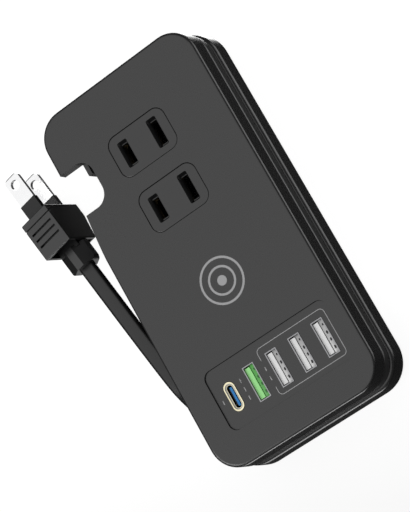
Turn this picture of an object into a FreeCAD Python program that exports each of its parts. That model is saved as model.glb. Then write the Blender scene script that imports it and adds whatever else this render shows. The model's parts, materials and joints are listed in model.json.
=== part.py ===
import FreeCAD, Part
import math
import os
import re
import Sketcher

# Travel power strip with two flat-blade outlets, five USB ports and a flat lead that is wound round
# its waist. The case lies on its back: origin in the middle of the back, +Y towards the outlets' end,
# +Z out of the face. Millimetres.

SIZES = {
    # case
    "face_width": 64.26, "face_length": 134.84, "case_height": 24.38, "corner": 10.0, "draft": 3.1,
    "front_level": 16.3, "back_level": 8.9, "plate": 2.2, "wall": 2.3, "face_round": 1.2,
    "lip_round": 1.6, "base_round": 1.0, "fit_gap": 0.1,
    # groove and waist frame
    "groove_depth": 4.3, "frame_wall": 1.6, "flange": 1.2,
    # parking notch for the plug and the dock for its blades
    "notch_inner": -20.2, "notch_low": 31.7, "notch_high": 48.45, "notch_corner": 5.2,
    "lip_shave": 1.73, "shave_start": 14.0, "dock_ceiling": 19.4, "dock_inner": -22.0,
    "dock_end": 66.2, "dock_open_end": 57.4, "dock_side": -30.45, "dock_floor": 2.0, "dock_top": 5.75,
    "dock_rim": 1.6,
    # outlets
    "outlet_x": -0.1, "outlet_one": 41.0, "outlet_two": 19.55, "outlet_width": 23.5,
    "outlet_height": 15.3, "outlet_corner": 3.7, "outlet_depth": 11.4, "outlet_wall": 1.5,
    "slot_spacing": 12.7, "mouth_width": 3.9, "mouth_short": 9.5, "mouth_long": 10.6,
    "mouth_depth": 1.6, "mouth_taper": 27.0, "slot_width": 2.3, "slot_short": 7.4, "slot_long": 8.6,
    # contact strips under the outlets
    "leaf": 0.5, "leaf_gap": 1.3, "leaf_width": 6.6, "leaf_low": 10.6, "leaf_top": 15.0,
    "strip_width": 6.0,
    # USB panel and ports
    "panel_left": -22.0, "panel_right": 27.0, "panel_low": -56.3, "panel_high": -35.0,
    "panel_corner": 3.0, "panel_sink": 0.6, "panel_thick": 2.9, "panel_flange": 1.2,
    "port_first": -6.53, "port_pitch": 9.23, "port_line": -46.35, "port_width": 4.4,
    "port_length": 12.55, "port_skin": 0.35, "tongue_thick": 1.8, "tongue_length": 11.1,
    "round_port": -15.8, "ring_width": 4.1, "ring_length": 10.2, "ring_inner_width": 3.3,
    "ring_inner_length": 9.1, "round_tongue": 0.8, "round_tongue_length": 6.7,
    # boards and what stands on them
    "board_level": 8.6, "board_thick": 1.6, "board_left": -25.6, "board_right": 25.6,
    "board_low": -54.4, "board_high": 8.0,
    # screws and bosses
    "screw_shank": 1.25, "screw_head": 2.6, "boss": 2.4, "boss_bore": 1.3, "boss_meet": 12.0,
    "head_seat": 1.9, "head_low": 0.5,
    "screw_side": 22.4, "screw_low": -59.0, "screw_high": 58.0, "screw_dock_side": -13.6,
    "screw_reach": 7.0, "cross_long": 3.2, "cross_wide": 0.7, "cross_deep": 0.8,
    "board_post": 2.0, "board_post_side": 4.0, "board_post_low": 12.0, "board_post_high": 4.0,
    # lead: a flat two-core cord
    "cord_width": 6.2, "cord_thick": 3.3, "cord_level": 13.0, "cord_inset": 1.95,
    "cord_edge": 1.6, "entry_bend": 6.0, "entry_x": -6.0, "entry_end": 54.0,
    # plug at the end of the lead
    "plug_x": -47.28, "plug_y": 36.26, "plug_z": 11.06, "plug_yaw": 8.56, "plug_pitch": -2.94,
    "plug_roll": 0.06, "plug_width": 12.1, "plug_length": 15.1, "plug_height": 21.2,
    "plug_edge": 0.4, "taper_start": 5.3, "taper_rise": 3.4, "recess_width": 9.8,
    "recess_low": -6.2, "recess_high": 9.3, "recess_depth": 4.0,
    "line_inset": 2.7, "line_width": 0.5, "line_depth": 0.9, "grip_inset": 5.35, "grip_pitch": 2.5,
    "grip_width": 0.8, "grip_length": 9.4, "grip_depth": 1.5,
    "blade_spacing": 12.7, "blade_width": 6.35, "blade_thick": 1.5, "blade_length": 17.5,
    "blade_root": 5.0, "blade_hole": 1.75, "blade_hole_inset": 3.65, "blade_tip": 1.9,
    "blade_bevel": 0.45,
    "sleeve_length": 6.3, "sleeve_width": 6.8, "sleeve_thick": 2.3,
    "collar_length": 8.2, "collar_width": 11.0, "collar_height": 9.4, "collar_top": 3.0,
    "collar_side": 3.0, "collar_round": 1.5, "collar_gap": 0.3, "neck_width": 8.4, "neck_height": 7.6,
}

# Middle line of the lead's free stretch, from where it leaves the groove to the plug's collar.
FREE_ROUTE = [
    (-31.30, -53.30, 13.0), (-35.30, -37.20, 12.1), (-40.63, -7.75, 11.04), (-44.90, 20.60, 11.04),
]
# How far the lead's end faces stand from the line it swings about.
SWING_GAP = 0.35
# Stretch of the free lead, as lengths along it, in which it turns from standing on edge to lying flat.
TWIST_START = 4.0
TWIST_END = 26.0
TWIST_STEPS = 8
REST_STEPS = 6

# Blocks that stand on the board, each as its extent across, its extent along and its height.
BOARD_BLOCKS = {
    "transformer": [((-8.0, 8.0), (-28.0, -12.0), 11.0), ((-10.5, 10.5), (-25.0, -15.0), 8.5)],
    "bridge_rectifier": [((3.0, 9.5), (-1.0, 3.5), 3.0)],
    "output_choke": [((14.0, 21.0), (-28.0, -21.0), 6.0)],
    "control_chips": [((14.0, 19.0), (-14.0, -8.0), 1.6), ((-4.0, 1.0), (-8.0, -4.0), 1.6),
                      ((8.0, 12.0), (-34.0, -30.0), 1.2)],
}
# Upright cans on the board, each as its middle, its radius and its height.
BOARD_CANS = {
    "filter_capacitors": [(-18.0, -27.0, 4.0, 11.5), (-18.0, -17.0, 4.0, 11.5)],
    "thermal_fuse": [(-6.0, 2.0, 2.6, 9.0)],
}
# The varistor's disc, on edge: its middle, its height above the board, its radius and its thickness.
VARISTOR = (-17.0, 0.0, 5.0, 4.5, 3.0)
# Wires inside the case: their radius, how far apart the two stand at the lead's end, and the places
# and levels that they pass on the way to the contact strips and from there to the board.
WIRE_RADIUS = 0.7
WIRE_SHIFT = 0.9
WIRE_RISE = 2.2
WIRE_IN = [(50.6, 7.6), (43.0, 7.4)]
WIRE_OUT = [(0.0, 17.0, 7.4), (0.0, 6.0, 7.0), (4.0, 2.0, 7.0)]
WIRE_TURN = 51.2

# Two lengths closer than this are the same.
TINY = 1e-4

doc = FreeCAD.newDocument("travel_power_strip")
sheet = doc.addObject("Spreadsheet::Sheet", "sizes")
for row, (alias, number) in enumerate(SIZES.items(), start=1):
    sheet.set("A%d" % row, alias)
    sheet.set("B%d" % row, str(number))
    sheet.setAlias("B%d" % row, alias)
doc.recompute()

subparts = []


def size(alias):
    """A driving size, read from the sheet."""
    return float(sheet.get(alias))


def bind(text):
    """An expression with each size's name turned into its cell."""
    return re.sub(r"[a-z_]+", lambda m: "sizes." + m.group() if m.group() in SIZES else m.group(), text)


def put(obj, **expressions):
    """Bind an object's properties to the sheet; a double underscore stands for a dot."""
    for name, text in expressions.items():
        obj.setExpression(name.replace("__", "."), bind(text))


def place(obj, x, y, z):
    """Bind an object's position to the sheet."""
    put(obj, Placement__Base__x=x, Placement__Base__y=y, Placement__Base__z=z)


def keep(obj, label):
    """Name an object as a sub-part, to be written out."""
    obj.Label = label
    subparts.append(obj)
    return obj


# ---------------------------------------------------------------- building blocks

def box(x, y, z, name="block"):
    """A block between pairs of expressions."""
    obj = doc.addObject("Part::Box", name)
    put(obj, Length="(%s) - (%s)" % (x[1], x[0]), Width="(%s) - (%s)" % (y[1], y[0]),
        Height="(%s) - (%s)" % (z[1], z[0]))
    place(obj, x[0], y[0], z[0])
    return obj


def centred(x, y, width, length, z, name="block"):
    """A block centred on x and y."""
    return box(("(%s) - (%s) / 2" % (x, width), "(%s) + (%s) / 2" % (x, width)),
               ("(%s) - (%s) / 2" % (y, length), "(%s) + (%s) / 2" % (y, length)), z, name)


def rod(x, y, radius, z, name="rod"):
    """An upright cylinder."""
    obj = doc.addObject("Part::Cylinder", name)
    put(obj, Radius=radius, Height="(%s) - (%s)" % (z[1], z[0]))
    place(obj, x, y, z[0])
    return obj


def cut(base, tool, name="cut"):
    """One piece with another taken out of it."""
    obj = doc.addObject("Part::Cut", name)
    obj.Base = base
    obj.Tool = tool
    return obj


def fuse(pieces, name="fuse"):
    """Pieces joined into one solid."""
    obj = doc.addObject("Part::MultiFuse", name)
    obj.Shapes = pieces
    return obj


def group(pieces, name="group"):
    """Separate pieces kept together as one sub-part."""
    obj = doc.addObject("Part::Compound", name)
    obj.Links = pieces
    return obj


def body(label):
    """A feature-built sub-part."""
    return keep(doc.addObject("PartDesign::Body", label), label)


def base_plane(owner):
    """A body's own plane parallel to the back."""
    return next(feature for feature in owner.Origin.OriginFeatures if feature.Role == "XY_Plane")


def bind_rules(sketch, named, level):
    """Add a sketch's named sizes, each bound to the sheet, and set the level it stands at."""
    for name, (constraint, text) in named.items():
        sketch.renameConstraint(sketch.addConstraint(constraint), name)
        sketch.setExpression("Constraints." + name, bind(text))
    sketch.setExpression(".AttachmentOffset.Base.z", bind(level))


def rounded_outline(owner, x, y, corner, level):
    """A sketch of a rectangle with round corners, parallel to the back, at a level."""
    sketch = owner.newObject("Sketcher::SketchObject", "outline")
    sketch.AttachmentSupport = [(base_plane(owner), "")]
    sketch.MapMode = "FlatFace"
    half, turn = 20.0, 5.0
    vector = FreeCAD.Vector

    def line(x1, y1, x2, y2):
        return Part.LineSegment(vector(x1, y1, 0), vector(x2, y2, 0))

    def arc(cx, cy, start):
        circle = Part.Circle(vector(cx, cy, 0), vector(0, 0, 1), turn)
        return Part.ArcOfCircle(circle, math.radians(start), math.radians(start + 90))

    inner = half - turn
    sketch.addGeometry([
        line(-inner, -half, inner, -half), line(half, -inner, half, inner),
        line(inner, half, -inner, half), line(-half, inner, -half, -inner),
        arc(inner, -inner, 270), arc(inner, inner, 0), arc(-inner, inner, 90), arc(-inner, -inner, 180),
    ], False)
    rule = Sketcher.Constraint
    for side in range(4):
        sketch.addConstraint(rule("Tangent", side, 2, 4 + side, 1))
        sketch.addConstraint(rule("Tangent", 4 + side, 2, (side + 1) % 4, 1))
        sketch.addConstraint(rule("Horizontal" if side % 2 == 0 else "Vertical", side))
    for side in range(4, 7):
        sketch.addConstraint(rule("Equal", side, side + 1))
    named = {
        "corner": (rule("Radius", 4, turn), corner),
        "left": (rule("DistanceX", -1, 1, 3, 1, -half), x[0]),
        "right": (rule("DistanceX", -1, 1, 1, 1, half), x[1]),
        "bottom": (rule("DistanceY", -1, 1, 0, 1, -half), y[0]),
        "top": (rule("DistanceY", -1, 1, 2, 1, half), y[1]),
    }
    bind_rules(sketch, named, level)
    return sketch


def pad(owner, sketch, height, taper=None):
    """Raise a sketch's outline into a solid of its body."""
    feature = owner.newObject("PartDesign::Pad", "pad")
    feature.Profile = sketch
    put(feature, Length=height)
    if taper:
        put(feature, TaperAngle=taper)
    doc.recompute()


def pocket(owner, sketch, depth, upward=False, taper=None):
    """Cut a sketch's outline out of its body, and make sure that it took something away."""
    before = owner.Shape.Volume
    feature = owner.newObject("PartDesign::Pocket", "pocket")
    feature.Profile = sketch
    feature.Reversed = upward
    put(feature, Length=depth)
    if taper:
        put(feature, TaperAngle=taper)
    doc.recompute()
    if owner.Shape.Volume > before - 0.1:
        raise RuntimeError("a pocket of %s cut nothing" % owner.Label)


def sink(owner, x, y, corner, level, depth, upward=False, taper=None):
    """A pocket with a round-cornered outline."""
    pocket(owner, rounded_outline(owner, x, y, corner, level), depth, upward, taper)


def round_outline(owner, x, y, radius, level):
    """A sketch of a circle, parallel to the back, at a level."""
    sketch = owner.newObject("Sketcher::SketchObject", "circle")
    sketch.AttachmentSupport = [(base_plane(owner), "")]
    sketch.MapMode = "FlatFace"
    sketch.addGeometry(Part.Circle(FreeCAD.Vector(1, 1, 0), FreeCAD.Vector(0, 0, 1), 2), False)
    rule = Sketcher.Constraint
    named = {
        "radius": (rule("Radius", 0, 2.0), radius),
        "across": (rule("DistanceX", -1, 1, 0, 3, 1.0), x),
        "along": (rule("DistanceY", -1, 1, 0, 3, 1.0), y),
    }
    bind_rules(sketch, named, level)
    return sketch


def drill(owner, x, y, radius, level, depth):
    """A round hole upwards from a level."""
    pocket(owner, round_outline(owner, x, y, radius, level), depth, True)


def post(owner, x, y, radius, level, height):
    """A round boss."""
    pad(owner, round_outline(owner, x, y, radius, level), height)


def fillet_at(owner, edges_of, radius):
    """Round the edges that a test picks out of the body's present shape."""
    tip = owner.Tip
    names = []
    for number, edge in enumerate(tip.Shape.Edges, start=1):
        if edges_of(edge):
            names.append("Edge%d" % number)
    feature = owner.newObject("PartDesign::Fillet", "round")
    feature.Base = (tip, names)
    put(feature, Radius=radius)
    doc.recompute()


def flat_edge_at(level):
    """A test for edges that lie at one level."""
    def test(edge):
        limits = edge.BoundBox
        return abs(limits.ZMin - level) < TINY and abs(limits.ZMax - level) < TINY
    return test


def outer_edge_at(level):
    """A test for edges that lie at one level, away from the notch."""
    at_level = flat_edge_at(level)

    def test(edge):
        middle = edge.CenterOfMass
        return at_level(edge) and not (-30 < middle.x < -15 and 30 < middle.y < 50)
    return test


# ---------------------------------------------------------------- case

SPREAD = "(case_height - (%s)) * tan(draft)"
SCREWS = [("screw_side", "screw_low"), ("-screw_side", "screw_low"), ("screw_side", "screw_high"),
          ("screw_dock_side", "screw_high")]


def outline_at(level, inset="0"):
    """Half sizes and corner of the case's outline at a level, moved in by an inset."""
    spread = SPREAD % level
    half_x = "face_width / 2 + %s - (%s)" % (spread, inset)
    half_y = "face_length / 2 + %s - (%s)" % (spread, inset)
    return ("-(%s)" % half_x, half_x), ("-(%s)" % half_y, half_y), "corner + %s - (%s)" % (spread, inset)


def hollow(owner, level, depth, inset, above):
    """Hollow out a cover or the frame from below, except round the notch and the dock."""
    half_x = "face_width / 2 - (%s)" % inset
    half_y = "face_length / 2 - (%s)" % inset
    edge = "corner - (%s)" % inset
    sink(owner, ("-(%s)" % half_x, half_x), ("-(%s)" % half_y, "0"), edge, level, depth, True)
    sink(owner, ("0", half_x), ("-20", half_y), edge, level, depth, True)
    sink(owner, ("-(%s)" % half_x, half_x), ("-20", "notch_low - (%s)" % above), "0.5", level, depth, True)
    sink(owner, ("notch_inner + (%s)" % above, "15"), ("0", half_y), "0.5", level, depth, True)


def notch(owner, level, depth):
    """Cut the plug's parking place out of the left side."""
    sink(owner, ("-corner - face_width / 2", "notch_inner"), ("notch_low", "notch_high"),
         "notch_corner", level, depth, True)


def make_front_cover():
    """The upper shell: the face, its sloping walls, and the openings for outlets and ports."""
    part = body("front_cover")
    x, y, corner = outline_at("front_level")
    pad(part, rounded_outline(part, x, y, corner, "front_level"), "case_height - front_level", "-draft")
    hollow(part, "front_level", "case_height - plate - front_level", "wall", "wall")
    notch(part, "front_level", "case_height")
    fillet_at(part, outer_edge_at(size("case_height")), "face_round")
    # room for the blades, open to the notch and to the left
    sink(part, ("-corner - face_width / 2", "dock_inner"), ("notch_high - 3", "dock_open_end"), "1",
         "front_level", "dock_ceiling - front_level", True)
    sink(part, ("dock_side", "dock_inner"), ("notch_high + 1", "dock_end"), "1",
         "front_level", "dock_ceiling - front_level", True)
    for line in ("outlet_one", "outlet_two"):
        sink(part, ("outlet_x - outlet_width / 2 - fit_gap", "outlet_x + outlet_width / 2 + fit_gap"),
             (line + " - outlet_height / 2 - fit_gap", line + " + outlet_height / 2 + fit_gap"),
             "outlet_corner + fit_gap", "case_height", "2 * plate")
    sink(part, ("panel_left - fit_gap", "panel_right + fit_gap"),
         ("panel_low - fit_gap", "panel_high + fit_gap"), "panel_corner", "case_height", "2 * plate")
    for x, y in SCREWS:
        post(part, x, y, "boss", "boss_meet", "case_height - plate - boss_meet")
        drill(part, x, y, "boss_bore", "boss_meet", "case_height - plate - boss_meet - 1")
    shave_lip(part)


def shave_lip(part):
    """Slope the left edge inwards towards the notch, so that the lead can slip past."""
    sketch = part.newObject("Sketcher::SketchObject", "shave")
    sketch.AttachmentSupport = [(base_plane(part), "")]
    sketch.MapMode = "FlatFace"
    edge = -size("face_width") / 2
    run = size("notch_low") - size("shave_start")
    slope = size("lip_shave") / run
    start = size("shave_start") - run / 2
    points = [(edge - slope * run / 2, start), (edge + size("lip_shave"), size("notch_low")),
              (edge + size("lip_shave"), size("notch_low") + 1),
              (edge - 5, size("notch_low") + 1), (edge - 5, start)]
    for first, second in zip(points, points[1:] + points[:1]):
        sketch.addGeometry(Part.LineSegment(FreeCAD.Vector(*first, 0), FreeCAD.Vector(*second, 0)), False)
    for side in range(len(points)):
        sketch.addConstraint(Sketcher.Constraint("Coincident", side, 2, (side + 1) % len(points), 1))
    pocket(part, sketch, "case_height + 1", True)


def make_back_cover():
    """The lower shell, with bosses for the screws and posts for the board."""
    part = body("back_cover")
    x, y, corner = outline_at("0")
    pad(part, rounded_outline(part, x, y, corner, "0"), "back_level", "-draft")
    notch(part, "0", "case_height")
    fillet_at(part, outer_edge_at(size("back_level")), "lip_round")
    fillet_at(part, outer_edge_at(0), "base_round")
    hollow(part, "plate", "case_height", "wall", "wall")
    # seat of the blade dock
    sink(part, ("-corner - face_width / 2", "dock_side"), ("notch_high - 3", "dock_open_end"), "0.5",
         "0", "case_height", True)
    sink(part, ("dock_side - 0.5", "dock_inner"), ("notch_high - 3", "dock_end + 0.3"), "0.4",
         "dock_floor", "case_height", True)
    for x, y in SCREWS:
        post(part, x, y, "boss", "plate", "boss_meet - fit_gap - plate")
        drill(part, x, y, "boss_bore + fit_gap", "0", "case_height")
        drill(part, x, y, "screw_head + fit_gap", "0", "head_seat")
    for x in ("board_left + board_post_side", "board_right - board_post_side"):
        for y in ("board_low + board_post_low", "board_high - board_post_high"):
            post(part, x, y, "board_post", "plate - 0.5", "board_level - plate + 0.5")


def make_waist_frame():
    """The drum that the lead is wound on, with flanges that locate the covers."""
    part = body("waist_frame")
    x, y, corner = outline_at("(front_level + back_level) / 2", "groove_depth")
    pad(part, rounded_outline(part, x, y, corner, "back_level"), "front_level - back_level")
    half_x, half_y = "face_width / 2 - wall - fit_gap", "face_length / 2 - wall - fit_gap"
    for level in ("back_level - flange", "front_level"):
        pad(part, rounded_outline(part, ("-(%s)" % half_x, half_x), ("-(%s)" % half_y, half_y),
                                  "corner - wall - fit_gap", level), "flange")
    low = "back_level - 2 * flange"
    hollow(part, low, "case_height", "groove_depth + frame_wall", "frame_wall")
    notch(part, low, "case_height")
    sink(part, ("-corner - face_width / 2", "dock_inner"), ("notch_high - 3", "face_length"), "0.5",
         low, "case_height", True)
    # the covers are solid round the notch, so the flanges stop short of it
    for level in ("back_level - 2 * flange", "front_level"):
        sink(part, ("-corner - face_width / 2", "notch_inner + wall + fit_gap"),
             ("notch_low - wall - fit_gap", "face_length"), "0.5", level, "2 * flange", True)
    # window for the lead's gland
    sink(part, ("entry_x - 3.6", "entry_x + 5.2"), ("face_length / 2 - 8", "face_length / 2"), "0.3",
         "cord_level - cord_width / 2 - 0.5", "cord_width + 0.7", True)


# ---------------------------------------------------------------- outlets

def make_outlet(number, line):
    """A socket face with two flat slots and a box below it for the contacts."""
    part = body("outlet_insert_%d" % number)
    x = ("outlet_x - outlet_width / 2", "outlet_x + outlet_width / 2")
    y = (line + " - outlet_height / 2", line + " + outlet_height / 2")
    pad(part, rounded_outline(part, x, y, "outlet_corner", "case_height - outlet_depth"), "outlet_depth")
    fillet_at(part, flat_edge_at(size("case_height")), "0.35")
    x = ("outlet_x - outlet_width / 2 + outlet_wall", "outlet_x + outlet_width / 2 - outlet_wall")
    y = (line + " - outlet_height / 2 + outlet_wall", line + " + outlet_height / 2 - outlet_wall")
    sink(part, x, y, "outlet_corner - outlet_wall", "case_height - outlet_depth", "outlet_depth - 3", True)
    for side, mouth, slot in (("- slot_spacing / 2", "mouth_short", "slot_short"),
                              ("+ slot_spacing / 2", "mouth_long", "slot_long")):
        middle = "outlet_x " + side
        sink(part, (middle + " - mouth_width / 2", middle + " + mouth_width / 2"),
             (line + " - %s / 2" % mouth, line + " + %s / 2" % mouth), "0.6", "case_height",
             "mouth_depth", False, "-mouth_taper")
        sink(part, (middle + " - slot_width / 2", middle + " + slot_width / 2"),
             (line + " - %s / 2" % slot, line + " + %s / 2" % slot), "0.3", "case_height", "6")


def make_contact_strip(label, side):
    """A brass strip that runs under both outlets, with a pair of leaves for each blade."""
    middle = "outlet_x " + side
    pieces = [box((middle + " - strip_width / 2", middle + " + strip_width / 2"),
                  ("outlet_two - leaf_width", "outlet_one + leaf_width"),
                  ("leaf_low - leaf", "leaf_low"), label + "_strip")]
    for line in ("outlet_one", "outlet_two"):
        for way in ("- leaf_gap / 2 - leaf", "+ leaf_gap / 2"):
            left = middle + " " + way
            pieces.append(box((left, left + " + leaf"),
                              (line + " - leaf_width / 2", line + " + leaf_width / 2"),
                              ("leaf_low - leaf / 2", "leaf_top"), label + "_leaf"))
    return keep(fuse(pieces, label), label)


# ---------------------------------------------------------------- USB side

def port_x(number):
    """The middle line of one of the four like ports."""
    return "port_first + %d * port_pitch" % number


def make_usb_panel():
    """The sunk panel that the ports look through."""
    part = body("usb_panel")
    top = "case_height - panel_sink"
    pad(part, rounded_outline(part, ("panel_left", "panel_right"), ("panel_low", "panel_high"),
                              "panel_corner", top + " - panel_thick"), "panel_thick")
    pad(part, rounded_outline(
        part, ("panel_left - panel_flange", "panel_right + panel_flange"), ("panel_low", "panel_high"),
        "panel_corner", top + " - panel_thick"),
        "case_height - plate - fit_gap / 2 - (%s - panel_thick)" % top)
    for number in range(4):
        middle = port_x(number)
        sink(part, (middle + " - port_width / 2 - fit_gap", middle + " + port_width / 2 + fit_gap"),
             ("port_line - port_length / 2 - fit_gap", "port_line + port_length / 2 + fit_gap"), "fit_gap",
             top, "2 * panel_thick")
    sink(part, ("round_port - ring_width / 2 - fit_gap", "round_port + ring_width / 2 + fit_gap"),
         ("port_line - ring_length / 2 - fit_gap", "port_line + ring_length / 2 + fit_gap"),
         "ring_width / 2", top, "2 * panel_thick")


BOARD_TOP = "board_level + board_thick"


def make_usb_a(number):
    """A pressed steel shell open at the face, and the plastic tongue inside it."""
    middle = port_x(number)
    floor = "%s + 1" % BOARD_TOP
    outer = centred(middle, "port_line", "port_width", "port_length",
                    (BOARD_TOP, "case_height - panel_sink + 0.15"), "usb_shell_block")
    inner = centred(middle, "port_line", "port_width - 2 * port_skin", "port_length - 2 * port_skin",
                    (floor, "case_height + 1"), "usb_shell_hollow")
    keep(cut(outer, inner, "usb_a_shell"), "usb_a_shell_%d" % (number + 1))
    left = middle + " - port_width / 2 + port_skin + 0.1"
    tongue = box((left, left + " + tongue_thick"),
                 ("port_line - tongue_length / 2", "port_line + tongue_length / 2"),
                 (floor, "case_height - panel_sink - 0.5"), "usb_tongue")
    keep(tongue, "usb_a_tongue_%d" % (number + 1))
    pins = []
    for step in (-3.5, -1.0, 1.0, 3.5):
        pins.append(box((left + " + tongue_thick", left + " + tongue_thick + 0.15"),
                        ("port_line + %s - 0.5" % step, "port_line + %s + 0.5" % step),
                        (floor, "case_height - panel_sink - 2"), "usb_pin"))
    return pins


def stadium(x, width, length, z, name):
    """A solid with a long outline and half-round ends."""
    straight = centred(x, "port_line", width, "(%s) - (%s)" % (length, width), z, name + "_middle")
    ends = [rod(x, "port_line %s ((%s) - (%s)) / 2" % (sign, length, width), "(%s) / 2" % width, z,
                name + "_end") for sign in "+-"]
    return fuse([straight] + ends, name)


def make_usb_c():
    """The oval port: its trim ring, its shell and the tongue inside."""
    top = "case_height - panel_sink"
    ring = cut(stadium("round_port", "ring_width", "ring_length", (top + " - 1.8", top + " + 0.25"),
                       "ring_outer"),
               stadium("round_port", "ring_inner_width", "ring_inner_length",
                       (top + " - 2", top + " + 1"), "ring_hole"), "usb_c_trim")
    keep(ring, "usb_c_trim_ring")
    width, length = "ring_inner_width - 0.06", "ring_inner_length - 0.06"
    shell = cut(stadium("round_port", width, length, (BOARD_TOP, top), "shell_outer"),
                stadium("round_port", width + " - 0.6", length + " - 0.6",
                        (BOARD_TOP + " + 1", top + " + 1"), "shell_hole"), "usb_c_shell")
    keep(shell, "usb_c_shell")
    keep(centred("round_port", "port_line", "round_tongue", "round_tongue_length",
                 (BOARD_TOP + " + 1", top + " - 0.9"), "usb_c_tongue"), "usb_c_tongue")


def make_electronics():
    """The supply that makes the USB voltage, and the surge guard on the mains side."""
    keep(box(("board_left", "board_right"), ("board_low", "board_high"), ("board_level", BOARD_TOP),
             "main_board"), "main_board")
    for label, blocks in BOARD_BLOCKS.items():
        made = [box((str(x[0]), str(x[1])), (str(y[0]), str(y[1])),
                    (BOARD_TOP, "%s + %s" % (BOARD_TOP, height)), "board_block")
                for x, y, height in blocks]
        join = fuse if label == "transformer" else group
        keep(join(made, label) if len(made) > 1 else made[0], label)
    for label, cans in BOARD_CANS.items():
        made = [rod(str(x), str(y), str(radius), (BOARD_TOP, "%s + %s" % (BOARD_TOP, height)), "board_can")
                for x, y, radius, height in cans]
        keep(group(made, label) if len(made) > 1 else made[0], label)
    x, y, rise, radius, thick = VARISTOR
    disc = doc.addObject("Part::Cylinder", "surge_varistor")
    disc.Placement.Rotation = FreeCAD.Rotation(FreeCAD.Vector(1, 0, 0), 90)
    put(disc, Radius=str(radius), Height=str(thick))
    place(disc, str(x), str(y), "%s + %s" % (BOARD_TOP, rise))
    keep(disc, "surge_varistor")


def make_wires():
    """Insulated tails from the lead's end to the contact strips, and on to the board."""
    solids = []
    for sign in (-1, 1):
        strip = size("outlet_x") + sign * size("slot_spacing") / 2
        side = size("entry_x") + sign * WIRE_SHIFT
        level = size("cord_level") + sign * WIRE_SHIFT * WIRE_RISE
        inward = [(side, size("entry_end") - size("fit_gap"), level), (side, WIRE_TURN, level)]
        inward += [(strip, y, z) for y, z in WIRE_IN]
        outward = [(strip + shift, y, z) for shift, y, z in WIRE_OUT]
        solids += [tube(inward, WIRE_RADIUS), tube(outward, WIRE_RADIUS)]
    obj = doc.addObject("Part::Feature", "inner_wires")
    obj.Shape = Part.makeCompound(solids)
    keep(obj, "inner_wires")


def make_screws():
    """Four cross-headed screws, put in from the back."""
    screws = []
    depth = ("head_low - 1", "head_low + cross_deep")
    for x, y in SCREWS:
        head = rod(x, y, "screw_head", ("head_low", "head_seat"), "screw_head")
        shank = rod(x, y, "screw_shank", ("head_seat", "boss_meet + screw_reach"), "screw_shank")
        cross = [centred(x, y, "cross_long", "cross_wide", depth, "screw_cross"),
                 centred(x, y, "cross_wide", "cross_long", depth, "screw_cross")]
        screws.append(cut(fuse([head, shank], "screw_solid"), fuse(cross, "screw_recess"), "screw"))
    keep(group(screws, "cover_screws"), "cover_screws")


def make_blade_dock():
    """A shelf below the notch's upper lip, with a channel for the lower blade."""
    block = box(("dock_side", "dock_inner - fit_gap"), ("notch_high", "dock_end + 0.2"),
                ("dock_floor + 0.05", "dock_top"), "dock_block")
    seat = "(case_height - blade_spacing - blade_thick) / 2 - 2 * fit_gap"
    channel = box(("dock_side + dock_rim", "dock_inner - 4 * fit_gap"), ("notch_high - 1", "dock_end - 0.5"),
                  (seat, "dock_top + 1"), "dock_channel")
    keep(cut(block, channel, "blade_dock"), "blade_dock")


# ---------------------------------------------------------------- lead

def route_wire(points, name):
    """Straight runs joined by tangent arcs, each as large as its two runs allow."""
    corners = [FreeCAD.Vector(*point) for point in points]
    edges = []
    start = corners[0]
    for before, here, after in zip(corners, corners[1:], corners[2:]):
        back, ahead = (before - here), (after - here)
        reach = 0.45 * min(back.Length, ahead.Length)
        turn = math.pi - back.getAngle(ahead)
        radius = reach / math.tan(turn / 2)
        print("%s: turn %.1f deg, radius %.1f mm" % (name, math.degrees(turn), radius))
        first = here + back.normalize() * reach
        last = here + ahead.normalize() * reach
        middle_way = (back + ahead).normalize()
        centre = here + middle_way * (radius / math.cos(turn / 2))
        edges.append(Part.LineSegment(start, first).toShape())
        edges.append(Part.Arc(first, centre - middle_way * radius, last).toShape())
        start = last
    edges.append(Part.LineSegment(start, corners[-1]).toShape())
    return Part.Wire(edges)


def tube(points, radius):
    """A round tube of straight cylinders with balls at the turns."""
    corners = [FreeCAD.Vector(*point) for point in points]
    solid = None
    for start, end in zip(corners, corners[1:]):
        piece = Part.makeCylinder(radius, (end - start).Length, start, end - start)
        solid = piece if solid is None else solid.fuse(piece)
    for middle in corners[1:-1]:
        solid = solid.fuse(Part.makeSphere(radius, middle))
    return solid.removeSplitter()


def cord_section(place_at, along, lean):
    """The flat cord's outline across its run: lean 0 stands it on edge, 90 lays it flat."""
    half_w, half_t, edge = size("cord_width") / 2, size("cord_thick") / 2, size("cord_edge")
    up = FreeCAD.Vector(0, 0, 1)
    side = along.cross(up).normalize()
    top = side.cross(along).normalize()
    angle = math.radians(lean)
    wide = top * math.cos(angle) + side * math.sin(angle)
    thin = side * math.cos(angle) - top * math.sin(angle)

    def point(w, t):
        return place_at + wide * w + thin * t

    edges = []
    corner = 1 - math.sqrt(0.5)
    for sw, st in ((1, 1), (-1, 1), (-1, -1), (1, -1)):
        flip = sw * st
        first = (half_w, half_t - edge) if flip > 0 else (half_w - edge, half_t)
        last = (half_w - edge, half_t) if flip > 0 else (half_w, half_t - edge)
        mid = (half_w - edge * corner, half_t - edge * corner)
        curve = Part.Arc(point(sw * first[0], st * first[1]), point(sw * mid[0], st * mid[1]),
                         point(sw * last[0], st * last[1]))
        edges.append(curve.toShape())
    closed = []
    for number, curve in enumerate(edges):
        following = edges[(number + 1) % 4]
        closed.append(curve)
        closed.append(Part.LineSegment(curve.Vertexes[-1].Point, following.Vertexes[0].Point).toShape())
    return Part.Wire(closed)


def sweep(wire, lean):
    """The cord's section carried along a wire."""
    first = wire.OrderedEdges[0]
    along = first.tangentAt(first.FirstParameter)
    section = cord_section(wire.OrderedVertexes[0].Point, along, lean)
    return wire.makePipeShell([section], True, False)


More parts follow.
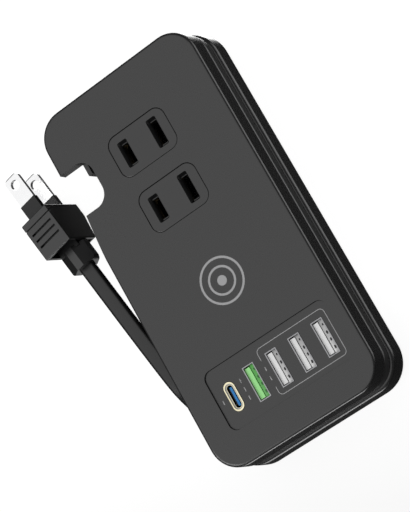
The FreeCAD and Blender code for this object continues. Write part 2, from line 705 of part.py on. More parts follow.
def wrap_wire():
    """Middle line of the lead in the groove: in through the gland, then round three corners."""
    spread = (size("case_height") - size("cord_level")) * math.tan(math.radians(size("draft")))
    inset = size("cord_inset")
    half_x = size("face_width") / 2 + spread - inset
    half_y = size("face_length") / 2 + spread - inset
    turn = size("corner") + spread - inset
    level, bend = size("cord_level"), size("entry_bend")
    diagonal = math.sqrt(0.5)

    def at(x, y):
        return FreeCAD.Vector(x, y, level)

    def corner_arc(cx, cy, radius, first, last):
        angles = [math.radians(first), math.radians((first + last) / 2), math.radians(last)]
        return Part.Arc(*[at(cx + radius * math.cos(a), cy + radius * math.sin(a)) for a in angles])

    entry = size("entry_x")
    last = FreeCAD.Vector(*FREE_ROUTE[0])
    edges = [
        Part.LineSegment(at(entry, size("entry_end")), at(entry, half_y - bend)),
        Part.Arc(at(entry, half_y - bend), at(entry + bend * (1 - diagonal), half_y - bend * (1 - diagonal)),
                 at(entry + bend, half_y)),
        Part.LineSegment(at(entry + bend, half_y), at(half_x - turn, half_y)),
        corner_arc(half_x - turn, half_y - turn, turn, 90, 0),
        Part.LineSegment(at(half_x, half_y - turn), at(half_x, turn - half_y)),
        corner_arc(half_x - turn, turn - half_y, turn, 0, -90),
        Part.LineSegment(at(half_x - turn, -half_y), at(turn - half_x, -half_y)),
        corner_arc(turn - half_x, turn - half_y, turn, 270, 180),
        Part.LineSegment(at(-half_x, turn - half_y), at(last.x, last.y - 2 * SWING_GAP)),
    ]
    return Part.Wire([edge.toShape() for edge in edges])


def make_lead():
    """The lead in two pieces: the stretch that lies in the groove, and the stretch that comes free."""
    wrap = wrap_wire()
    held = doc.addObject("Part::Feature", "cord_wrap")
    held.Shape = sweep(wrap, 0)
    keep(held, "cord_wrap")
    free = route_wire(FREE_ROUTE, "free lead")
    area = Part.Face(cord_section(FreeCAD.Vector(0, 0, 0), FreeCAD.Vector(0, 1, 0), 0)).Area
    length = free.Length
    stations = [TWIST_START + (TWIST_END - TWIST_START) * step / TWIST_STEPS
                for step in range(TWIST_STEPS + 1)]

    def section_at(distance, lean):
        where, along = point_on(free, distance)
        return cord_section(where, along, lean)

    upright = [section_at(0, 0), section_at(TWIST_START, 0)]
    twisted = [section_at(distance, 90 * step / TWIST_STEPS) for step, distance in enumerate(stations)]
    rest = [TWIST_END + (length - TWIST_END) * step / REST_STEPS for step in range(REST_STEPS + 1)]
    flat = [section_at(distance, 90) for distance in rest]
    first, *others = [Part.makeLoft(sections, True, True) for sections in (upright, twisted, flat)]
    loose = doc.addObject("Part::Feature", "cord_free")
    loose.Shape = first.multiFuse(others).Solids[0]
    keep(loose, "cord_free")
    print("lead in the groove %.1f mm, free %.1f mm" % (wrap.Length, length))
    print("volumes against section times length: %.3f %.3f" % (
        held.Shape.Volume / (area * wrap.Length), loose.Shape.Volume / (area * length)))
    return held


def point_on(wire, distance):
    """The place and direction a given length along a wire."""
    left = distance
    for edge in wire.OrderedEdges:
        if left <= edge.Length + 1e-9:
            at = edge.getParameterByLength(min(left, edge.Length))
            way = edge.tangentAt(at)
            if edge.Orientation == "Reversed":
                at = edge.getParameterByLength(max(edge.Length - left, 0))
                way = -edge.tangentAt(at)
            return edge.valueAt(at), way
        left -= edge.Length
    edge = wire.OrderedEdges[-1]
    return edge.valueAt(edge.LastParameter), edge.tangentAt(edge.LastParameter)


def make_gland(held):
    """A rubber bush in the frame's window, moulded round the lead."""
    block = box(("entry_x - 3.5", "entry_x + 5.1"), ("face_length / 2 - 6.8", "face_length / 2 - 3.4"),
                ("cord_level - cord_width / 2 - 0.4", "cord_level + cord_width / 2 + 0.1"), "gland_block")
    doc.recompute()
    keep(cut(block, held, "cord_gland"), "cord_gland")


# ---------------------------------------------------------------- plug

def at_plug(obj):
    """Stand a plug piece, drawn about the plug's middle, where the plug lies."""
    obj.Placement = FreeCAD.Placement(
        FreeCAD.Vector(size("plug_x"), size("plug_y"), size("plug_z")),
        FreeCAD.Rotation(size("plug_yaw"), size("plug_pitch"), size("plug_roll")))
    return obj


def slab(corners, way, name):
    """A solid carried straight from a closed outline."""
    points = [FreeCAD.Vector(*corner) for corner in corners]
    obj = doc.addObject("Part::Feature", name)
    obj.Shape = Part.Face(Part.makePolygon(points + points[:1])).extrude(FreeCAD.Vector(*way))
    return obj


def softened(solid, radius, picked, name):
    """A solid with the picked edges rounded."""
    obj = doc.addObject("Part::Fillet", name)
    obj.Base = solid
    obj.Edges = [(number, radius, radius) for number, edge in enumerate(solid.Shape.Edges, start=1)
                 if picked(edge)]
    return obj


def make_plug():
    """Blades point along +Y, stacked in Z; the lead leaves along -Y."""
    half_w, half_l, half_t = size("plug_width") / 2, size("plug_length") / 2, size("plug_height") / 2
    side = [(half_l, half_t), (-half_l, half_t), (-half_l, size("taper_rise") - half_t),
            (half_l - size("taper_start"), -half_t), (half_l, -half_t)]
    block = slab([(-half_w, y, z) for y, z in side], (2 * half_w, 0, 0), "plug_block")
    soft = softened(block, size("plug_edge"), lambda edge: True, "plug_round")
    top = "plug_height / 2"
    recess_length = ("-plug_length", "recess_depth - plug_length / 2")
    tools = [box(("-recess_width / 2", "recess_width / 2"), recess_length, ("recess_low", "recess_high"),
                 "plug_recess"),
             centred("0", "plug_length / 2 - line_inset", "2 * plug_width", "line_width",
                     (top + " - line_depth", top + " + line_depth"), "plug_line")]
    for step in range(3):
        tools.append(centred("0", "plug_length / 2 - grip_inset - %d * grip_pitch" % step, "grip_length",
                             "grip_width", (top + " - grip_depth", top + " + grip_depth"), "plug_grip"))
    for sign in (1, -1):
        tools.append(centred("0", "plug_length / 2", "blade_width", "2 * blade_root",
                             ("%d * blade_spacing / 2 - blade_thick / 2" % sign,
                              "%d * blade_spacing / 2 + blade_thick / 2" % sign), "blade_seat"))
    keep(at_plug(cut(soft, fuse(tools, "plug_tools"), "plug_body")), "plug_body")
    for number, sign in enumerate((1, -1), start=1):
        make_blade(number, sign)
    make_collar()


def tip_wedge(tip, face, way):
    """What the bevel takes off one face of a blade's tip."""
    reach = size("blade_bevel") + 1
    corners = [(tip - reach, face + way), (tip + 1, face + way), (tip + 1, face - way * reach)]
    width = size("blade_width")
    return slab([(-width, y, z) for y, z in corners], (2 * width, 0, 0), "blade_wedge")


def make_blade(number, sign):
    """A flat blade with a round-cornered, bevelled tip, and the sleeve at its root."""
    level = "%d * blade_spacing / 2" % sign
    thick = (level + " - blade_thick / 2", level + " + blade_thick / 2")
    front = "plug_length / 2"
    strip = box(("-blade_width / 2", "blade_width / 2"),
                (front + " - blade_root", front + " + blade_length"), thick, "blade_strip")
    doc.recompute()
    tip = size("plug_length") / 2 + size("blade_length")
    rounded = softened(strip, size("blade_tip"), lambda edge: abs(edge.CenterOfMass.y - tip) < 1e-6
                       and abs(edge.CenterOfMass.x) > 1, "blade_tip")
    hole = rod("0", front + " + blade_length - blade_hole_inset", "blade_hole",
               (thick[0] + " - 1", thick[1] + " + 1"), "blade_hole")
    middle = sign * size("blade_spacing") / 2
    wedges = [tip_wedge(tip, middle + way * size("blade_thick") / 2, way) for way in (1, -1)]
    keep(at_plug(cut(rounded, fuse([hole] + wedges, "blade_tools"), "plug_blade")),
         "plug_blade_%d" % number)
    outer = box(("-sleeve_width / 2", "sleeve_width / 2"), (front, front + " + sleeve_length"),
                (level + " - sleeve_thick / 2", level + " + sleeve_thick / 2"), "sleeve_block")
    inner = box(("-blade_width / 2", "blade_width / 2"), (front + " - 1", front + " + sleeve_length + 1"),
                thick, "sleeve_hole")
    keep(at_plug(cut(outer, inner, "blade_sleeve")), "blade_sleeve_%d" % number)


def make_collar():
    """The strain relief: an eight-sided collar on a neck that comes out of the plug's recess."""
    half_w, half_t = size("collar_width") / 2, size("collar_height") / 2
    top, side = size("collar_top") / 2, size("collar_side") / 2
    corners = [(top, half_t), (-top, half_t), (-half_w, side), (-half_w, -side), (-top, -half_t),
               (top, -half_t), (half_w, -side), (half_w, side)]
    start = -size("plug_length") / 2 - size("collar_gap")
    end = -size("plug_length") / 2 - size("collar_length")
    prism = slab([(x, start, z) for x, z in corners], (0, end - start, 0), "collar_prism")
    plan = box(("-collar_width / 2 - 0.01", "collar_width / 2 + 0.01"),
               ("-plug_length / 2 - collar_length", "0"), ("-collar_height", "collar_height"),
               "collar_plan")
    doc.recompute()
    rounded = softened(plan, size("collar_round"), lambda edge: abs(edge.CenterOfMass.y - end) < 1e-6
                       and abs(edge.CenterOfMass.x) > 1, "collar_ends")
    sleeve = doc.addObject("Part::MultiCommon", "collar_sleeve")
    sleeve.Shapes = [prism, rounded]
    neck = box(("-neck_width / 2", "neck_width / 2"),
               ("-plug_length / 2 - collar_gap - 1", "recess_depth - plug_length / 2"),
               ("-neck_height / 2", "neck_height / 2"), "collar_neck")
    keep(at_plug(fuse([sleeve, neck], "plug_collar")), "plug_collar")


# ---------------------------------------------------------------- assembly

make_front_cover()
make_back_cover()
make_waist_frame()
make_outlet(1, "outlet_one")
make_outlet(2, "outlet_two")
make_contact_strip("neutral_strip", "- slot_spacing / 2")
make_contact_strip("live_strip", "+ slot_spacing / 2")
make_usb_panel()
pins = []
for number in range(4):
    pins.extend(make_usb_a(number))
keep(group(pins, "usb_a_pins"), "usb_a_pins")
make_usb_c()
make_electronics()
make_screws()
make_blade_dock()
held_lead = make_lead()
make_gland(held_lead)
make_wires()
make_plug()
doc.recompute()

for obj in doc.Objects:
    if "Invalid" in obj.State or "Error" in obj.State:
        raise RuntimeError("%s (%s) failed: %s" % (obj.Label, obj.Name, obj.State))
for obj in subparts:
    if obj.Shape.isNull() or not obj.Shape.isValid():
        raise RuntimeError("%s has no valid shape" % obj.Label)

os.makedirs("parts", exist_ok=True)
for obj in subparts:
    obj.Shape.exportStep("parts/%s.step" % obj.Label)
    limits = obj.Shape.BoundBox
    print("%-22s %9.1f mm3  x %7.2f..%7.2f  y %7.2f..%7.2f  z %6.2f..%6.2f  solids %d" % (
        obj.Label, obj.Shape.Volume, limits.XMin, limits.XMax, limits.YMin, limits.YMax,
        limits.ZMin, limits.ZMax, len(obj.Shape.Solids)))
print(len(subparts), "sub-parts")
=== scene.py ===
import json
import math

import bmesh
import bpy
from mathutils import Matrix, Vector


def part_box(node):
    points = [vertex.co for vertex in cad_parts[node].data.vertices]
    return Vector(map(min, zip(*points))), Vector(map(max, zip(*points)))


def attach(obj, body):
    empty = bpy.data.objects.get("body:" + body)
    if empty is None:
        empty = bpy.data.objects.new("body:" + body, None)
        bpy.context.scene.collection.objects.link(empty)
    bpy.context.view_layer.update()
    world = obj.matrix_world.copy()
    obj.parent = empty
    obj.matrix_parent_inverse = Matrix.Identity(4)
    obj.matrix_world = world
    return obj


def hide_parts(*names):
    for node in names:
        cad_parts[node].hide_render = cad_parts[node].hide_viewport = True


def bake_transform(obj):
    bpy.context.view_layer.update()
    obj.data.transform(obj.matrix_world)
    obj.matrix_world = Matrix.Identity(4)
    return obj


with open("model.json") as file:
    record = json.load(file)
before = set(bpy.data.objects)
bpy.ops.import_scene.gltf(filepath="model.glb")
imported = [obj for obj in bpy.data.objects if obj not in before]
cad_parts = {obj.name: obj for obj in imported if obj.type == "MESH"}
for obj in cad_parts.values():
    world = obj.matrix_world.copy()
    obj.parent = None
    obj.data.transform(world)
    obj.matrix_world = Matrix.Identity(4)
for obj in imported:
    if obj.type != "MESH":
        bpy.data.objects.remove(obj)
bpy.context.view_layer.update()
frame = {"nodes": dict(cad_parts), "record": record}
MM = 0.001
nodes = frame["nodes"]


# ---------------------------------------------------------------- materials

# Scales of the noises, as features per metre, and the bumps' full height in metres.
CLOUD_SCALE = 120.0
SMEAR_SCALE = 900.0
STREAK_SCALE = 700.0
SPOT_SCALE = 240.0
BUMP_HEIGHT = 0.00001
# How far a plastic's colour strays to each side.
CLOUDING = 0.03

def new_material(name):
    """An empty node material with its shader."""
    material = bpy.data.materials.new(name)
    material.use_nodes = True
    return material, material.node_tree, material.node_tree.nodes["Principled BSDF"]


def link(tree, source, target):
    """Join two sockets."""
    tree.links.new(source, target)


def node(tree, kind, **values):
    """A shader node with its inputs set by name."""
    made = tree.nodes.new(kind)
    for name, value in values.items():
        made.inputs[name.replace("_", " ")].default_value = value
    return made


def noise(tree, scale, detail=2.0, rough=0.5):
    """Noise over the piece's own coordinates, so that it stays put when the piece moves."""
    where = tree.nodes.new("ShaderNodeTexCoord")
    made = node(tree, "ShaderNodeTexNoise", Scale=scale, Detail=detail, Roughness=rough)
    link(tree, where.outputs["Object"], made.inputs["Vector"])
    return made


def ranged(tree, source, low, high, first=0.3, last=0.7):
    """Map a noise's middle range to the range that is asked for."""
    made = node(tree, "ShaderNodeMapRange", From_Min=first, From_Max=last, To_Min=low, To_Max=high)
    link(tree, source, made.inputs["Value"])
    return made.outputs["Result"]


def tinted(tree, source, dark, light):
    """A colour between two, steered by a number."""
    made = tree.nodes.new("ShaderNodeMix")
    made.data_type = "RGBA"
    made.inputs["A"].default_value = (*dark, 1)
    made.inputs["B"].default_value = (*light, 1)
    link(tree, source, made.inputs["Factor"])
    return made.outputs["Result"]


def roughen(tree, shader, height, strength):
    """Bend the surface's light by a height, as a bump."""
    bump = node(tree, "ShaderNodeBump", Strength=strength, Distance=BUMP_HEIGHT)
    link(tree, height, bump.inputs["Height"])
    link(tree, bump.outputs["Normal"], shader.inputs["Normal"])


def moulded(name, colour, rough, grain, depth, specular):
    """Moulded plastic or rubber: a fine spark-eroded grain, faint clouding and handling marks."""
    material, tree, shader = new_material(name)
    clouds = noise(tree, CLOUD_SCALE, 5.0, 0.7)
    dark = [c * (1 - CLOUDING) for c in colour]
    light = [c * (1 + CLOUDING) for c in colour]
    link(tree, tinted(tree, ranged(tree, clouds.outputs["Fac"], 0, 1), dark, light),
         shader.inputs["Base Color"])
    smears = noise(tree, SMEAR_SCALE, 5.0, 0.7)
    link(tree, ranged(tree, smears.outputs["Fac"], rough * 0.94, min(rough * 1.07, 1)),
         shader.inputs["Roughness"])
    roughen(tree, shader, noise(tree, grain, 2.0, 0.6).outputs["Fac"], depth)
    shader.inputs["Specular IOR Level"].default_value = specular
    return material


def metal(name, colour, rough, streak, scratch, tarnish):
    """Drawn or stamped metal: fine streaks along one way and a little tarnish."""
    material, tree, shader = new_material(name)
    where = tree.nodes.new("ShaderNodeTexCoord")
    stretch = tree.nodes.new("ShaderNodeMapping")
    stretch.inputs["Scale"].default_value = streak
    link(tree, where.outputs["Object"], stretch.inputs["Vector"])
    streaks = node(tree, "ShaderNodeTexNoise", Scale=STREAK_SCALE, Detail=4.0, Roughness=0.6)
    link(tree, stretch.outputs["Vector"], streaks.inputs["Vector"])
    link(tree, ranged(tree, streaks.outputs["Fac"], rough * 0.85, rough * 1.15), shader.inputs["Roughness"])
    spots = noise(tree, SPOT_SCALE, 3.0)
    link(tree, tinted(tree, ranged(tree, spots.outputs["Fac"], 0, 1),
                      [c * (1 - tarnish) for c in colour], colour), shader.inputs["Base Color"])
    roughen(tree, shader, streaks.outputs["Fac"], scratch)
    shader.inputs["Metallic"].default_value = 1.0
    return material


# Plastics and rubbers: colour, roughness, grain's scale, grain's strength, specular level.
PLASTICS = {
    "case_plastic": ((0.008, 0.008, 0.0083), 0.27, 3200.0, 0.02, 0.74),
    "socket_plastic": ((0.008, 0.008, 0.0083), 0.29, 3600.0, 0.02, 0.74),
    # cord_jacket and cord_smooth are one jacket: the lead held in the groove is made lighter, as painted
    # light for the bright band along the groove.
    "cord_jacket": ((0.011, 0.011, 0.0113), 0.36, 2400.0, 0.04, 0.95),
    "cord_smooth": ((0.006, 0.006, 0.0063), 0.30, 2400.0, 0.04, 0.56),
    "plug_rubber": ((0.008, 0.008, 0.0083), 0.29, 2600.0, 0.08, 0.78),
    "sleeve_plastic": ((0.007, 0.007, 0.0073), 0.36, 2600.0, 0.25, 0.42),
    "white_plastic": ((0.88, 0.88, 0.88), 0.35, 3200.0, 0.3, 0.5),
    "green_plastic": ((0.36, 0.86, 0.30), 0.3, 3200.0, 0.3, 0.5),
    "blue_plastic": ((0.005, 0.22, 0.60), 0.3, 3200.0, 0.3, 0.5),
    "part_dark": ((0.03, 0.03, 0.03), 0.5, 3200.0, 0.3, 0.5),
    "part_blue": ((0.03, 0.09, 0.35), 0.35, 3200.0, 0.3, 0.5),
    "board": ((0.02, 0.17, 0.06), 0.3, 3200.0, 0.3, 0.5),
    "wire_jacket": ((0.6, 0.6, 0.58), 0.35, 3200.0, 0.3, 0.5),
    "print_grey": ((0.40, 0.40, 0.405), 0.6, 3200.0, 0.3, 0.5),
    "spring_green": ((0.10, 0.42, 0.08), 0.35, 3200.0, 0.3, 0.5),
    # port_dark and dimple_shade_green colour the leaves' dimples dark, as painted shade in their recesses;
    # port_dark also colours the round port's contact strip.
    "port_dark": ((0.012, 0.012, 0.013), 0.5, 3200.0, 0.3, 0.5),
    "dimple_shade_green": ((0.03, 0.15, 0.03), 0.5, 3200.0, 0.3, 0.5),
}
# Metals: colour, roughness, how the streaks are drawn out along x, y and z, scratches, tarnish.
METALS = {
    "port_steel": ((0.34, 0.34, 0.35), 0.4, (1, 1, 12), 0.12, 0.1),
    "port_trim": ((0.90, 0.83, 0.58), 0.35, (1, 1, 12), 0.12, 0.1),
    "contact_brass": ((0.32, 0.24, 0.12), 0.32, (1, 1, 12), 0.12, 0.1),
    "contact_gold": ((0.86, 0.66, 0.30), 0.22, (1, 1, 12), 0.12, 0.1),
    "screw_steel": ((0.22, 0.22, 0.23), 0.35, (1, 1, 1), 0.12, 0.1),
    "blade_plate": ((0.93, 0.93, 0.935), 0.26, (1, 8, 1), 0.05, 0.03),
    "spring_steel": ((0.44, 0.44, 0.44), 0.42, (1, 1, 12), 0.12, 0.1),
}
MATERIALS = {name: moulded(name, *values) for name, values in PLASTICS.items()}
MATERIALS.update({name: metal(name, *values) for name, values in METALS.items()})
SLOT_OF = {entry["node"]: entry["material_slot"] for entry in frame["record"]["subparts"]}


def shade_smooth(mesh, degrees=28.0):
    """Smooth shading that keeps edges sharper than an angle."""
    for polygon in mesh.polygons:
        polygon.use_smooth = True
    form = bmesh.new()
    form.from_mesh(mesh)
    limit = math.radians(degrees)
    sharp = [False] * len(form.edges)
    for edge in form.edges:
        if len(edge.link_faces) == 2 and edge.calc_face_angle(0) > limit:
            sharp[edge.index] = True
    form.free()
    attribute = mesh.attributes.get("sharp_edge") or mesh.attributes.new("sharp_edge", "BOOLEAN", "EDGE")
    attribute.data.foreach_set("value", sharp)


def dress(obj, slot):
    """Give a piece its material."""
    obj.data.materials.clear()
    obj.data.materials.append(MATERIALS[slot])


for name, obj in nodes.items():
    dress(obj, SLOT_OF[name])


# ---------------------------------------------------------------- lead

CORD_WIDTH = 6.2 * MM
CORD_THICK = 3.3 * MM
CORD_FLAT = 2.9 * MM
# The route's points in millimetres, from the groove's mouth to the plug's collar.
FREE_ROUTE = [
    (-31.30, -53.30, 13.0), (-35.30, -37.20, 12.1), (-40.63, -7.75, 11.04), (-44.90, 20.60, 11.04),
]
# The stretch in which the lead turns from standing on edge to lying flat.
TWIST_START = 4.0 * MM
TWIST_END = 26.0 * MM


def route_points(points, resolution=24):
    """Points along the smooth line that a cord's route makes."""
    curve = bpy.data.curves.new("route", "CURVE")
    curve.dimensions = "3D"
    spline = curve.splines.new("NURBS")
    spline.points.add(len(points) - 1)
    for slot_point, point in zip(spline.points, points):
        slot_point.co = (*[c * MM for c in point], 1)
    spline.order_u = 3
    spline.use_endpoint_u = True
    spline.resolution_u = resolution
    holder = bpy.data.objects.new("route", curve)
    mesh = bpy.data.meshes.new_from_object(holder)
    line = [vertex.co.copy() for vertex in mesh.vertices]
    bpy.data.objects.remove(holder)
    bpy.data.curves.remove(curve)
    bpy.data.meshes.remove(mesh)
    return line


def cord_outline(steps=7):
    """The flat cord's section: flat strips joined by elliptical shoulders, as (wide, thin) pairs."""
    across = CORD_WIDTH / 2 - CORD_FLAT / 2
    through = CORD_THICK / 2
    points = []
    for quarter, (sign_w, sign_t) in enumerate(((1, 1), (-1, 1), (-1, -1), (1, -1))):
        for step in range(steps):
            turn = step / (steps - 1) * math.pi / 2
            if quarter % 2:
                turn = math.pi / 2 - turn
            points.append((sign_w * (CORD_FLAT / 2 + across * math.cos(turn)),
                           sign_t * through * math.sin(turn)))
    return points


def sweep(name, line, lean_at):
    """A closed tube with the cord's section along a line; lean 0 stands it on edge, 90 lays it flat."""
    form = bmesh.new()
    outline = cord_outline()
    rings = []
    travelled = 0.0
    for index, here in enumerate(line):
        before = line[max(index - 1, 0)]
        after = line[min(index + 1, len(line) - 1)]
        travelled += (here - before).length
        along = (after - before).normalized()
        side = along.cross(Vector((0, 0, 1))).normalized()
        top = side.cross(along).normalized()
        lean = math.radians(lean_at(travelled))
        wide = top * math.cos(lean) + side * math.sin(lean)
        thin = side * math.cos(lean) - top * math.sin(lean)
        rings.append([form.verts.new(here + wide * w + thin * t) for w, t in outline])
    for first, second in zip(rings, rings[1:]):
        for index in range(len(outline)):
            following = (index + 1) % len(outline)
            form.faces.new((first[index], first[following], second[following], second[index]))
    form.faces.new(rings[0])
    form.faces.new(list(reversed(rings[-1])))
    bmesh.ops.recalc_face_normals(form, faces=form.faces)
    return finish_mesh(name, form, 50)


def finish_mesh(name, form, degrees=30.0):
    """Turn a bmesh into an object in the scene."""
    mesh = bpy.data.meshes.new(name)
    form.to_mesh(mesh)
    form.free()
    shade_smooth(mesh, degrees)
    obj = bpy.data.objects.new(name, mesh)
    bpy.context.scene.collection.objects.link(obj)
    return obj


def twist_lean(travelled):
    """How far the free lead leans at a length along it."""
    share = min(max((travelled - TWIST_START) / (TWIST_END - TWIST_START), 0), 1)
    return 90 * share * share * (3 - 2 * share)


def make_free_lead():
    """The loose stretch of the lead, from the groove's mouth to the plug's collar, swept along a fixed
    route.
    """
    line = route_points(FREE_ROUTE)
    lead = sweep("free_lead", line, twist_lean)
    dress(lead, "cord_smooth")
    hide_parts("cord_free")
    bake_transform(lead)


make_free_lead()


# ---------------------------------------------------------------- ports and printing

PANEL_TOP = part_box("usb_panel")[1].z
FACE_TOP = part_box("front_cover")[1].z
# How far a printed line stands out of its surface, and how far it reaches into it.
PRINT_RISE = 0.03 * MM
PRINT_ROOT = 0.02 * MM
# The leaf in a USB-A port: the shell's wall, the slack beside it, its place and its thickness.
SHELL_SKIN = 0.35 * MM
LEAF_SLACK = 0.02 * MM
LEAF_GAP = 0.16 * MM
LEAF_SINK = 0.75 * MM
LEAF_THICK = 1.2 * MM
LEAF_EDGE = 0.08 * MM
# The leaf's dimples: place along the port as a share of its length, half width and half length.
DIMPLES = [(0.17, 0.26, 0.45), (0.40, 0.34, 0.62), (0.60, 0.32, 0.58), (0.82, 0.36, 0.60)]
DIMPLE_SHIFT = 0.12 * MM
DIMPLE_HEIGHT = 0.10
# Dashes where the ports are marked: middle and length in millimetres.
DASHES = [
    (-1.6, -44.4, 1.5), (-1.6, -47.9, 1.5), (-11.2, -43.2, 1.5),
    (-11.2, -46.3, 1.5), (-11.2, -49.4, 1.5), (-20.0, -46.3, 1.5),
]


def block(form, low, high, bevel=0.0):
    """Add a block between two corners, with its edges bevelled."""
    made = bmesh.ops.create_cube(form, size=1.0)
    for vertex in made["verts"]:
        vertex.co = Vector([lo + (hi - lo) * (c + 0.5) for lo, hi, c in zip(low, high, vertex.co)])
    if bevel:
        edges = {edge for vertex in made["verts"] for edge in vertex.link_edges}
        bmesh.ops.bevel(form, geom=list(edges), offset=bevel, segments=2, affect="EDGES", profile=0.5)


def add_piece(name, form, slot, degrees=30.0):
    """A finished piece that rides on the case."""
    obj = finish_mesh(name, form, degrees)
    dress(obj, slot)
    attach(obj, "case")
    return obj


def add_springs(number, plate_slot, dimple_shade_slot):
    """The sprung side of a port: a metal leaf beside the tongue, pressed into dimples coloured dark as
    painted shade.
    """
    low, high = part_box("usb_a_shell_%d" % number)
    top = PANEL_TOP - LEAF_SINK
    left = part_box("usb_a_tongue_%d" % number)[1].x + LEAF_GAP
    right = high.x - SHELL_SKIN - LEAF_SLACK
    form = bmesh.new()
    block(form, (left, low.y + SHELL_SKIN + LEAF_SLACK, top - LEAF_THICK),
          (right, high.y - SHELL_SKIN - LEAF_SLACK, top), LEAF_EDGE)
    add_piece("port_leaf_%d" % number, form, plate_slot)
    form = bmesh.new()
    middle = (left + right) / 2
    length = high.y - low.y
    for share, wide, long in DIMPLES:
        where = Matrix.Translation((middle + DIMPLE_SHIFT, high.y - length * share, top))
        size = Matrix.Diagonal((wide * MM, long * MM, DIMPLE_HEIGHT * MM, 1))
        bmesh.ops.create_uvsphere(form, u_segments=20, v_segments=10, radius=1.0, matrix=where @ size)
    # The dimples take a dark colour: painted shade for the dark inside their recesses.
    add_piece("port_dimples_%d" % number, form, dimple_shade_slot, 60)


def strip_outline(points, width, closed, z):
    """A flat printed line along points, as a thin closed solid."""
    form = bmesh.new()
    rows = []
    count = len(points)
    for index, here in enumerate(points):
        before = points[index - 1] if closed or index else here
        after = points[(index + 1) % count] if closed or index < count - 1 else here
        along = (after - before).normalized()
        side = Vector((-along.y, along.x)) * width / 2
        pair = []
        for offset in (side, -side):
            for level in (z - PRINT_ROOT, z + PRINT_RISE):
                pair.append(form.verts.new((here.x + offset.x, here.y + offset.y, level)))
        rows.append(pair)
    joins = list(zip(rows, rows[1:]))
    if closed:
        joins.append((rows[-1], rows[0]))
    for first, second in joins:
        for a, b in ((0, 1), (1, 3), (3, 2), (2, 0)):
            form.faces.new((first[a], first[b], second[b], second[a]))
    if not closed:
        for row in (rows[0], rows[-1]):
            form.faces.new((row[0], row[1], row[3], row[2]))
    bmesh.ops.recalc_face_normals(form, faces=form.faces)
    return form


def arc_points(cx, cy, radius, first, last, steps):
    """Points along an arc, from millimetres and degrees to metres."""
    turns = [math.radians(first + (last - first) * step / steps) for step in range(steps + 1)]
    return [Vector((cx + radius * math.cos(t), cy + radius * math.sin(t))) * MM for t in turns]


def add_port_frame():
    """The printed line round the three like ports, open where a label would stand."""
    left, right, low, high, turn = -1.6, 25.1, -54.3, -37.6, 1.5
    points = [Vector((left, -41.5)) * MM]
    points += arc_points(left + turn, high - turn, turn, 180, 90, 8)
    points += arc_points(right - turn, high - turn, turn, 90, 0, 8)
    points += arc_points(right - turn, low + turn, turn, 0, -90, 8)
    points += arc_points(left + turn, low + turn, turn, 270, 180, 8)
    points.append(Vector((left, -51.0)) * MM)
    add_piece("port_frame_print", strip_outline(points, 0.21 * MM, False, PANEL_TOP), "print_grey")


def add_dashes():
    """Plain dashes where the ports are marked."""
    for number, (x, y, length) in enumerate(DASHES):
        points = [Vector((x, y - length / 2)) * MM, Vector((x, y + length / 2)) * MM]
        add_piece("port_dash_%d" % (number + 1), strip_outline(points, 0.34 * MM, False, PANEL_TOP),
                  "print_grey")


def add_mark():
    """A plain target mark on the face: two rings and a dot."""
    cx, cy = 0.5, -12.5
    for name, radius in (("outer", 7.6), ("inner", 4.6)):
        points = arc_points(cx, cy, radius, 0, 360, 72)[:-1]
        add_piece("face_mark_" + name, strip_outline(points, 0.75 * MM, True, FACE_TOP), "print_grey")
    form = bmesh.new()
    where = Matrix.Translation((cx * MM, cy * MM, FACE_TOP + 0.005 * MM))
    bmesh.ops.create_cone(form, cap_ends=True, segments=48, radius1=1.7 * MM, radius2=1.7 * MM,
                          depth=0.05 * MM, matrix=where)
    add_piece("face_mark_dot", form, "print_grey")


def add_round_port():
    """What is inside the oval port: a bright liner and the contact strip on the tongue."""
    low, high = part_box("usb_c_shell")
    middle = (low + high) / 2
    inset = 0.42 * MM
    half_w, half_l = (high.x - low.x) / 2 - inset, (high.y - low.y) / 2 - inset
    straight = half_l - half_w
    points = []
    for cy, first in ((middle.y + straight, 0), (middle.y - straight, 180)):
        points += arc_points(middle.x / MM, cy / MM, half_w / MM, first, first + 180, 12)
    add_piece("usb_c_liner", strip_outline(points, 0.14 * MM, True, PANEL_TOP - 0.12 * MM), "port_trim")
    tongue_low, tongue_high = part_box("usb_c_tongue")
    form = bmesh.new()
    block(form, (tongue_low.x - 0.45 * MM, tongue_low.y + 0.3 * MM, tongue_high.z - 1.0 * MM),
          (tongue_low.x, tongue_high.y - 0.3 * MM, tongue_high.z - 0.1 * MM), 0.06 * MM)
    add_piece("usb_c_contacts", form, "port_dark")


add_springs(1, "spring_green", "dimple_shade_green")
for number in (2, 3, 4):
    add_springs(number, "spring_steel", "port_dark")
add_port_frame()
add_dashes()
add_mark()
add_round_port()


# ---------------------------------------------------------------- stage, lights and camera

def reach(tree, vector, way):
    """How far a point or a direction goes along a way."""
    dot = tree.nodes.new("ShaderNodeVectorMath")
    dot.operation = "DOT_PRODUCT"
    link(tree, vector, dot.inputs[0])
    dot.inputs[1].default_value = Vector(way).normalized()
    return dot.outputs["Value"]


def make_floor():
    """A pale floor that glows evenly, darkening a little towards the front as a painted soft shadow."""
    mesh = bpy.data.meshes.new("floor")
    half = 3.0
    mesh.from_pydata([(-half, -half, 0), (half, -half, 0), (half, half, 0), (-half, half, 0)], [],
                     [(0, 1, 2, 3)])
    floor = bpy.data.objects.new("floor", mesh)
    bpy.context.scene.collection.objects.link(floor)
    floor.location.z = -0.0004
    material, tree, shader = new_material("floor")
    shader.inputs["Base Color"].default_value = (0.2, 0.2, 0.2, 1)
    shader.inputs["Roughness"].default_value = 0.9
    shader.inputs["Specular IOR Level"].default_value = 0.0
    shader.inputs["Emission Color"].default_value = (1, 1, 1, 1)
    where = tree.nodes.new("ShaderNodeTexCoord")
    front = reach(tree, where.outputs["Object"], (-0.25, -0.97, 0))
    # The glow drops towards the front: a painted soft shadow below the case.
    link(tree, ranged(tree, front, 0.93, 0.78, 0.03, 0.10), shader.inputs["Emission Strength"])
    mesh.materials.append(material)
    floor.visible_glossy = False
    floor.visible_diffuse = False
    floor.visible_shadow = False


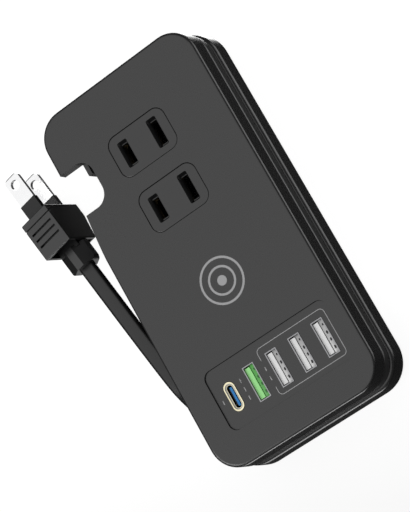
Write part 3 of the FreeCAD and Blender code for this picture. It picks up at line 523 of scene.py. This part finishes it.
def area_light(name, where, target, size, power):
    """A square lamp that looks at a target and isn't seen by the camera."""
    data = bpy.data.lights.new(name, "AREA")
    data.shape = "SQUARE"
    data.size = size
    data.energy = power
    lamp = bpy.data.objects.new(name, data)
    bpy.context.scene.collection.objects.link(lamp)
    lamp.location = where
    lamp.rotation_euler = (Vector(target) - Vector(where)).to_track_quat("-Z", "Y").to_euler()
    lamp.visible_camera = False


def toward(tree, direction, way, first, last, low, high):
    """A number that goes from low to high as a direction turns towards a way."""
    made = node(tree, "ShaderNodeMapRange", From_Min=first, From_Max=last, To_Min=low, To_Max=high)
    made.interpolation_type = "SMOOTHSTEP"
    link(tree, reach(tree, direction, way), made.inputs["Value"])
    return made.outputs["Result"]


def combine(tree, operation, first, second):
    """The sum or product of two numbers."""
    made = tree.nodes.new("ShaderNodeMath")
    made.operation = operation
    link(tree, first, made.inputs[0])
    link(tree, second, made.inputs[1])
    return made.outputs["Value"]


UP = (0.0, 0.0, 1.0)
# Bright panels of the studio: the way to each, the two cosines between which it fades in, its strength.
GLOWS = [
    ((-0.22, 0.40, -0.89), 0.955, 0.99, 4.5),
    ((0.92, 0.22, -0.28), 0.86, 0.97, 1.9),
    ((-0.35, -0.86, -0.34), 0.94, 0.985, 4.5),
]


def make_world():
    """An even studio: white above and to the left, dim elsewhere, with bright panels for the edges."""
    world = bpy.data.worlds.new("studio")
    bpy.context.scene.world = world
    world.use_nodes = True
    tree = world.node_tree
    direction = tree.nodes.new("ShaderNodeTexCoord").outputs["Generated"]
    above = toward(tree, direction, UP, 0.32, 0.76, 0.0, 0.88)
    left = toward(tree, direction, (-0.35, -0.10, 1.0), 0.38, 0.78, 0.0, 1.0)
    dim = toward(tree, direction, UP, -0.30, 0.10, 0.03, 0.15)
    total = combine(tree, "ADD", combine(tree, "MULTIPLY", above, left), dim)
    for way, first, last, strength in GLOWS:
        total = combine(tree, "ADD", total, toward(tree, direction, way, first, last, 0.0, strength))
    background = tree.nodes["Background"]
    background.inputs["Color"].default_value = (1, 1, 1, 1)
    link(tree, total, background.inputs["Strength"])


def make_camera():
    """A long lens that looks down at the face from the lower right."""
    data = bpy.data.cameras.new("camera")
    camera = bpy.data.objects.new("camera", data)
    bpy.context.scene.collection.objects.link(camera)
    data.sensor_width = 36.0
    data.lens = 138.18
    right = Vector((0.772416, -0.478562, -0.417555))
    up = Vector((0.528733, 0.848772, 0.005295))
    back = Vector((0.351875, -0.224865, 0.908636))
    turn = Matrix((right, up, back)).transposed()
    camera.matrix_world = Matrix.Translation((0.223229, -0.145612, 0.602125)) @ turn.to_4x4()
    data.clip_start = 0.01
    bpy.context.scene.camera = camera


make_floor()
make_world()
area_light("key", (-0.75, -0.30, 0.70), (0, 0, 0), 0.5, 2.6)
area_light("card", (-0.070, -0.012, -0.064), (-0.047, 0.025, 0.011), 0.05, 0.004)
make_camera()
bpy.context.scene.view_settings.view_transform = "Standard"

for obj in nodes.values():
    if not obj.hide_render:
        shade_smooth(obj.data)
